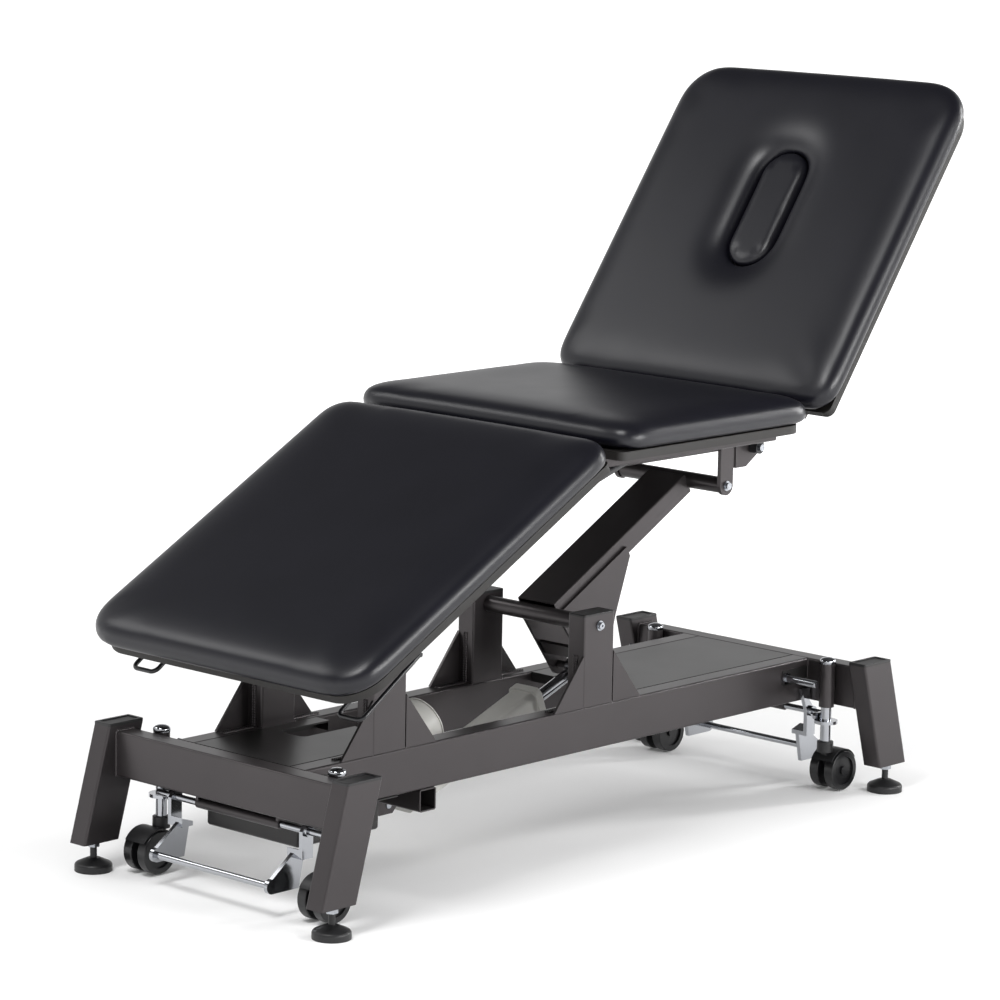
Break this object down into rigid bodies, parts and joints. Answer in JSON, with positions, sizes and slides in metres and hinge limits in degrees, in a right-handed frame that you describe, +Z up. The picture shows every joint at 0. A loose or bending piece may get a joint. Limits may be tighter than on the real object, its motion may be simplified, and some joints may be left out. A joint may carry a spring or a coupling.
{
  "type": "treatment table",
  "caption": "Height-adjustable clinic treatment table with hinged leg, seat and back sections on a wheeled steel base",
  "frame": {"origin": "On the floor plane, under the centre of the bounding box", "axes": "+X towards the head end, +Y to the side away from the pictured one, +Z up"},
  "size_m": [1.6798, 0.6712, 1.3354],
  "materials": {
    "frame_coat": "charcoal powder coat, satin",
    "cover_sheet": "dark powder-coated sheet, satin",
    "black_plastic": "moulded black plastic",
    "wheel_tread": "black castor tread",
    "zinc_steel": "bright zinc plating",
    "chrome_steel": "polished chrome",
    "actuator_plastic": "light grey housing plastic",
    "dark_plastic": "dark grey housing plastic",
    "black_paint": "black paint, satin",
    "plywood": "black-stained plywood",
    "black_vinyl": "coated upholstery vinyl, satin black"
  },
  "bodies": {
    "base": {"legs": "frame_coat", "leg_caps": "black_plastic", "lock_nuts": "zinc_steel", "end_beams": "frame_coat", "side_rails": "frame_coat", "posts": "frame_coat", "post_caps": "black_plastic", "gussets": "frame_coat", "pivot_shafts": "zinc_steel", "lower_pivot_bolts": "zinc_steel", "covers": "cover_sheet", "control_box": "cover_sheet", "castor_sleeves": "frame_coat", "pedal_bearings": "frame_coat", "rail_pins": "chrome_steel", "rail_plates": "cover_sheet", "actuator_bracket": "frame_coat"},
    "levelling_foot_foot_near": {"levelling_foot_foot_near": "black_plastic"},
    "levelling_foot_foot_far": {"levelling_foot_foot_far": "black_plastic"},
    "levelling_foot_head_near": {"levelling_foot_head_near": "black_plastic"},
    "levelling_foot_head_far": {"levelling_foot_head_far": "black_plastic"},
    "head_end_pedal": {"head_end_pedal": "chrome_steel"},
    "head_castor_stems": {"head_castor_stems": "chrome_steel"},
    "foot_end_pedal": {"foot_end_pedal": "chrome_steel"},
    "foot_castor_stems": {"foot_castor_stems": "chrome_steel"},
    "castor_housing_foot_near": {"castor_housing_foot_near": "black_plastic"},
    "castor_wheels_foot_near": {"castor_wheels_foot_near": "wheel_tread"},
    "castor_housing_foot_far": {"castor_housing_foot_far": "black_plastic"},
    "castor_wheels_foot_far": {"castor_wheels_foot_far": "wheel_tread"},
    "castor_housing_head_near": {"castor_housing_head_near": "black_plastic"},
    "castor_wheels_head_near": {"castor_wheels_head_near": "wheel_tread"},
    "castor_housing_head_far": {"castor_housing_head_far": "black_plastic"},
    "castor_wheels_head_far": {"castor_wheels_head_far": "wheel_tread"},
    "head_lift_arm": {"head_lift_arm": "frame_coat", "lift_lever": "frame_coat"},
    "foot_lift_arm": {"foot_lift_arm": "frame_coat"},
    "seat": {"seat_side_rails": "frame_coat", "seat_cross_tubes": "frame_coat", "seat_inner_rails": "frame_coat", "seat_brackets": "frame_coat", "seat_pivot_shafts": "zinc_steel", "seat_bolts": "zinc_steel", "seat_board": "plywood", "seat_cushion": "black_vinyl"},
    "face_plug": {"face_plug": "black_vinyl"},
    "actuator": {"actuator_housing": "dark_plastic", "actuator_motor": "actuator_plastic", "actuator_tube": "actuator_plastic"},
    "actuator_rod": {"actuator_rod": "chrome_steel"},
    "leg_section": {"leg_frame": "frame_coat", "leg_board": "plywood", "leg_cushion": "black_vinyl"},
    "leg_release_bar": {"leg_release_bar": "black_paint"},
    "back_section": {"back_frame": "frame_coat", "back_board": "plywood", "back_cushion": "black_vinyl"},
    "back_strut_tubes": {"back_strut_tubes": "black_paint"},
    "back_strut_rods": {"back_strut_rods": "chrome_steel"},
    "leg_strut_tubes": {"leg_strut_tubes": "black_paint"},
    "leg_strut_rods": {"leg_strut_rods": "chrome_steel"}
  },
  "joints": [
    {"name": "levelling_foot_foot_near_screw", "type": "slide", "parent": "base", "child": "levelling_foot_foot_near", "axis": [0, 0, -1], "range_m": [0, 0.015]},
    {"name": "levelling_foot_foot_far_screw", "type": "slide", "parent": "base", "child": "levelling_foot_foot_far", "axis": [0, 0, -1], "range_m": [0, 0.015]},
    {"name": "levelling_foot_head_near_screw", "type": "slide", "parent": "base", "child": "levelling_foot_head_near", "axis": [0, 0, -1], "range_m": [0, 0.015]},
    {"name": "levelling_foot_head_far_screw", "type": "slide", "parent": "base", "child": "levelling_foot_head_far", "axis": [0, 0, -1], "range_m": [0, 0.015]},
    {"name": "head_end_pedal_lift", "type": "hinge", "parent": "base", "child": "head_end_pedal", "pos_m": [0.60509, 0, 0.1435], "axis": [0, -1, 0], "range_deg": [0, 30]},
    {"name": "head_castor_stems_drop", "type": "slide", "parent": "base", "child": "head_castor_stems", "axis": [0, 0, -1], "range_m": [0, 0.015]},
    {"name": "foot_end_pedal_lift", "type": "hinge", "parent": "base", "child": "foot_end_pedal", "pos_m": [-0.73091, 0, 0.1435], "axis": [0, 1, 0], "range_deg": [0, 30]},
    {"name": "foot_castor_stems_drop", "type": "slide", "parent": "base", "child": "foot_castor_stems", "axis": [0, 0, -1], "range_m": [0, 0.015]},
    {"name": "castor_swivel_foot_near", "type": "hinge", "parent": "foot_castor_stems", "child": "castor_housing_foot_near", "pos_m": [-0.71341, -0.214, 0.096], "axis": [0, 0, 1], "continuous": true},
    {"name": "castor_roll_foot_near", "type": "hinge", "parent": "castor_housing_foot_near", "child": "castor_wheels_foot_near", "pos_m": [-0.73941, -0.214, 0.0395], "axis": [0, 1, 0], "continuous": true},
    {"name": "castor_swivel_foot_far", "type": "hinge", "parent": "foot_castor_stems", "child": "castor_housing_foot_far", "pos_m": [-0.71341, 0.214, 0.096], "axis": [0, 0, 1], "continuous": true},
    {"name": "castor_roll_foot_far", "type": "hinge", "parent": "castor_housing_foot_far", "child": "castor_wheels_foot_far", "pos_m": [-0.73941, 0.214, 0.0395], "axis": [0, 1, 0], "continuous": true},
    {"name": "castor_swivel_head_near", "type": "hinge", "parent": "head_castor_stems", "child": "castor_housing_head_near", "pos_m": [0.58759, -0.214, 0.096], "axis": [0, 0, 1], "continuous": true},
    {"name": "castor_roll_head_near", "type": "hinge", "parent": "castor_housing_head_near", "child": "castor_wheels_head_near", "pos_m": [0.61359, -0.214, 0.0395], "axis": [0, 1, 0], "continuous": true},
    {"name": "castor_swivel_head_far", "type": "hinge", "parent": "head_castor_stems", "child": "castor_housing_head_far", "pos_m": [0.58759, 0.214, 0.096], "axis": [0, 0, 1], "continuous": true},
    {"name": "castor_roll_head_far", "type": "hinge", "parent": "castor_housing_head_far", "child": "castor_wheels_head_far", "pos_m": [0.61359, 0.214, 0.0395], "axis": [0, 1, 0], "continuous": true},
    {"name": "lift", "type": "hinge", "parent": "base", "child": "head_lift_arm", "pos_m": [0.00209, 0, 0.39], "axis": [0, -1, 0], "range_deg": [-4, 31]},
    {"name": "seat_level", "type": "hinge", "parent": "head_lift_arm", "child": "seat", "pos_m": [0.37563, 0, 0.59749], "axis": [0, -1, 0], "range_deg": [-31, 4]},
    {"name": "foot_arm_swing", "type": "hinge", "parent": "base", "child": "foot_lift_arm", "pos_m": [-0.52991, 0, 0.39], "axis": [0, -1, 0], "range_deg": [-4, 31]},
    {"name": "actuator_tilt", "type": "hinge", "parent": "base", "child": "actuator", "pos_m": [-0.40191, 0, 0.107], "axis": [0, -1, 0], "range_deg": [-3, 7]},
    {"name": "actuator_stroke", "type": "slide", "parent": "actuator", "child": "actuator_rod", "axis": [0.932, 0, 0.3624], "range_m": [-0.03, 0.08]},
    {"name": "leg_section_tilt", "type": "hinge", "parent": "seat", "child": "leg_section", "pos_m": [-0.14161, 0, 0.712], "axis": [0, 1, 0], "range_deg": [0, 28.6]},
    {"name": "leg_release", "type": "hinge", "parent": "leg_section", "child": "leg_release_bar", "pos_m": [-0.58843, 0, 0.44105], "axis": [0, 1, 0], "range_deg": [0, 6]},
    {"name": "back_section_tilt", "type": "hinge", "parent": "seat", "child": "back_section", "pos_m": [0.41809, 0, 0.738], "axis": [0, -1, 0], "range_deg": [-54, 8]},
    {"name": "face_plug_pull", "type": "slide", "parent": "back_section", "child": "face_plug", "axis": [-0.809, 0, 0.5878], "range_m": [0, 0.09]},
    {"name": "back_strut_swing", "type": "hinge", "parent": "seat", "child": "back_strut_tubes", "pos_m": [0.44709, 0, 0.664], "axis": [0, -1, 0], "range_deg": [-51.49, 8.48]},
    {"name": "back_strut_stroke", "type": "slide", "parent": "back_strut_tubes", "child": "back_strut_rods", "axis": [0.574, 0, 0.8189], "range_m": [-0.0721, 0.0124]},
    {"name": "leg_strut_swing", "type": "hinge", "parent": "seat", "child": "leg_strut_tubes", "pos_m": [0.08709, 0, 0.688], "axis": [0, 1, 0], "range_deg": [-1, 13.3]},
    {"name": "leg_strut_stroke", "type": "slide", "parent": "leg_strut_tubes", "child": "leg_strut_rods", "axis": [-0.9538, 0, -0.3006], "range_m": [-0.002, 0.0381]}
  ],
  "couplings": [
    {"joint": "head_castor_stems_drop", "follows": "head_end_pedal_lift", "m_per_rad": 0.0277},
    {"joint": "foot_castor_stems_drop", "follows": "foot_end_pedal_lift", "m_per_rad": 0.0277},
    {"joint": "seat_level", "follows": "lift", "ratio": -1},
    {"joint": "foot_arm_swing", "follows": "lift", "ratio": 1},
    {"joint": "actuator_tilt", "follows": "lift", "ratio": 0.161},
    {"joint": "actuator_stroke", "follows": "lift", "m_per_rad": 0.13},
    {"joint": "back_strut_swing", "follows": "back_section_tilt", "ratio": 0.935},
    {"joint": "back_strut_stroke", "follows": "back_section_tilt", "m_per_rad": 0.0744},
    {"joint": "leg_strut_swing", "follows": "leg_section_tilt", "ratio": 0.43},
    {"joint": "leg_strut_stroke", "follows": "leg_section_tilt", "m_per_rad": 0.0724}
  ]
}
